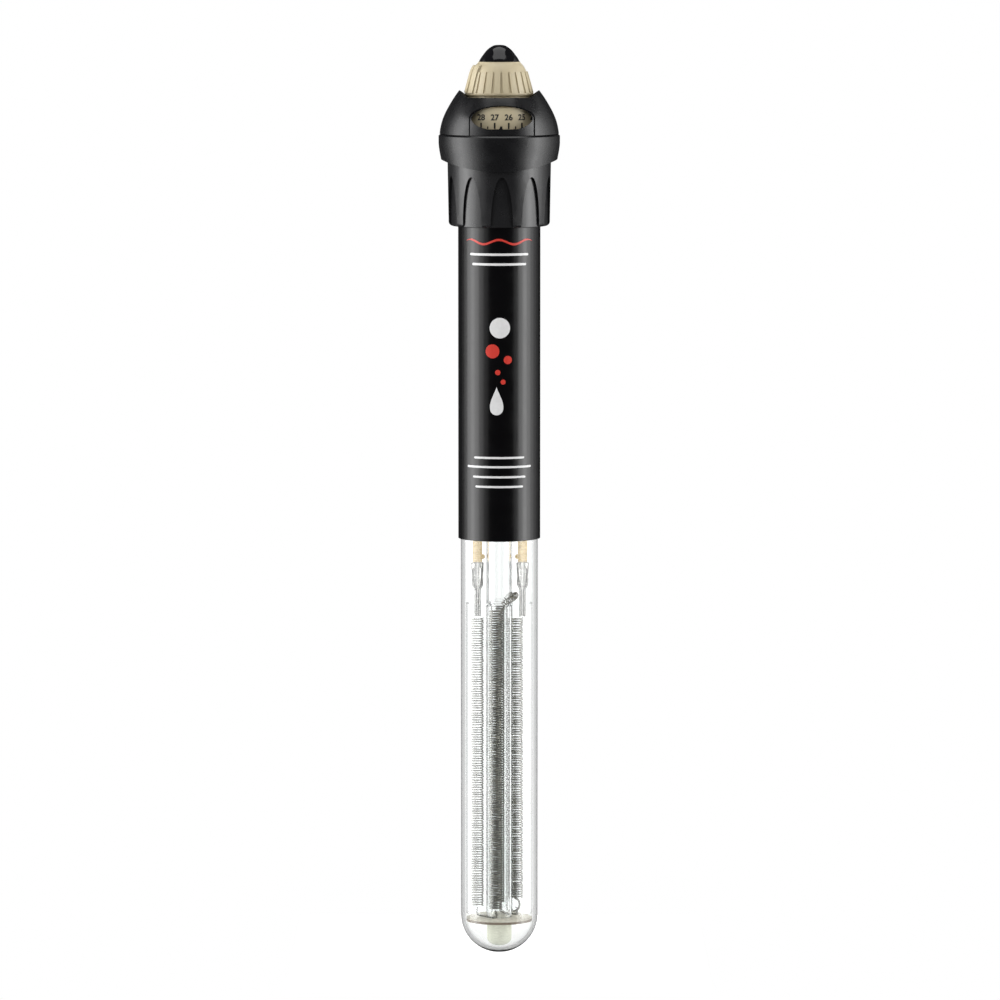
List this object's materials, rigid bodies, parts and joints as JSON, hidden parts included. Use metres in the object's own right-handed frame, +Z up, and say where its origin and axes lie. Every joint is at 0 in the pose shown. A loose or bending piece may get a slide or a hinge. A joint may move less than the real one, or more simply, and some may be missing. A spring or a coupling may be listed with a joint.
{
  "type": "submersible aquarium heater",
  "caption": "Glass-tube aquarium heater with a round head, a turning temperature knob and dial, a black sleeve and a coiled heating element in a round-bottomed tube.",
  "frame": {"origin": "lowest point of the round glass bottom, on the tube axis", "axes": "+Z up along the tube, from the round bottom to the knob; -Y is the front, where the dial window is; +X is to the right seen from the front"},
  "size_m": [0.0408, 0.0408, 0.3083],
  "materials": {
    "borosilicate_glass": "clear",
    "sleeve_print": "glossy black sleeve with a printed water line",
    "black_plastic": "fine moulded texture",
    "black_gloss": "polished",
    "cream_plastic": "satin moulded",
    "seal_rubber": "matt",
    "steel": "stamped",
    "brass": "turned and stamped",
    "contact_silver": "bright",
    "tinned_metal": "tinned, folded sheet",
    "resistance_wire": "dull oxidised wire",
    "bimetal": "rolled strip",
    "magnet": "sintered",
    "carrier_plastic": "moulded phenolic",
    "capacitor_case": "moulded",
    "mica": "layered mica board",
    "glass_fibre": "felted glass fibre",
    "live_insulation": "silicone sleeve",
    "neutral_insulation": "silicone sleeve"
  },
  "bodies": {
    "housing": {"glass_tube": "borosilicate_glass", "label_sleeve": "sleeve_print", "clamp_nut": "black_plastic", "tube_seal": "seal_rubber", "head_bowl": "black_plastic", "dome_cover": "black_plastic", "bearing_plate": "black_plastic", "plate_gasket": "seal_rubber", "spindle_oring": "seal_rubber", "cord_gland": "seal_rubber", "threaded_bush": "brass", "thermostat_carrier": "carrier_plastic", "arm_pivot_pin": "steel", "snap_magnet": "magnet", "bimetal_bracket": "steel", "bimetal_rivets": "steel", "noise_capacitor": "capacitor_case", "terminal_left": "brass", "terminal_right": "brass", "crimp_left": "tinned_metal", "crimp_right": "tinned_metal", "lead_strip_left": "tinned_metal", "lead_strip_right": "tinned_metal", "element_tube_front": "borosilicate_glass", "element_tube_left": "borosilicate_glass", "element_tube_right": "borosilicate_glass", "element_tube_back": "borosilicate_glass", "heating_coil_front": "resistance_wire", "heating_coil_left": "resistance_wire", "heating_coil_right": "resistance_wire", "heating_coil_back": "resistance_wire", "spacer_tube": "borosilicate_glass", "top_link": "resistance_wire", "bottom_link_left": "resistance_wire", "bottom_link_right": "resistance_wire", "base_disc": "mica", "bottom_pad": "glass_fibre", "neutral_wire": "neutral_insulation", "live_wire": "live_insulation", "switch_lead": "live_insulation"},
    "knob_group": {"knob": "cream_plastic", "dial_ring": "cream_plastic", "knob_cap": "black_gloss", "knob_screw": "steel", "spindle": "brass"},
    "adjuster": {"adjust_screw": "brass"},
    "arm": {"contact_arm": "steel", "fixed_contact": "contact_silver"},
    "bimetal": {"bimetal_strip": "bimetal", "moving_contact": "contact_silver", "armature": "steel"}
  },
  "joints": [
    {"name": "knob_turn", "type": "hinge", "parent": "housing", "child": "knob_group", "pos_m": [0, 0, 0.29], "axis": [0, 0, 1], "range_deg": [-151.5, 96.3]},
    {"name": "screw_feed", "type": "slide", "parent": "knob_group", "child": "adjuster", "axis": [0, 0, 1], "range_m": [-0.0003, 0.0002]},
    {"name": "arm_tilt", "type": "hinge", "parent": "housing", "child": "arm", "pos_m": [0, 0.004, 0.2291], "axis": [1, 0, 0], "range_deg": [-2.8, 4.3]},
    {"name": "bimetal_bend", "type": "hinge", "parent": "housing", "child": "bimetal", "pos_m": [0, 0.0013, 0.163], "axis": [-1, 0, 0], "range_deg": [-1.2, 0.3], "stiffness_Nm_per_rad": 0.05}
  ],
  "couplings": [
    {"joint": "screw_feed", "follows": "knob_turn", "m_per_rad": 0.00011141},
    {"joint": "arm_tilt", "follows": "knob_turn", "ratio": -0.027852}
  ]
}
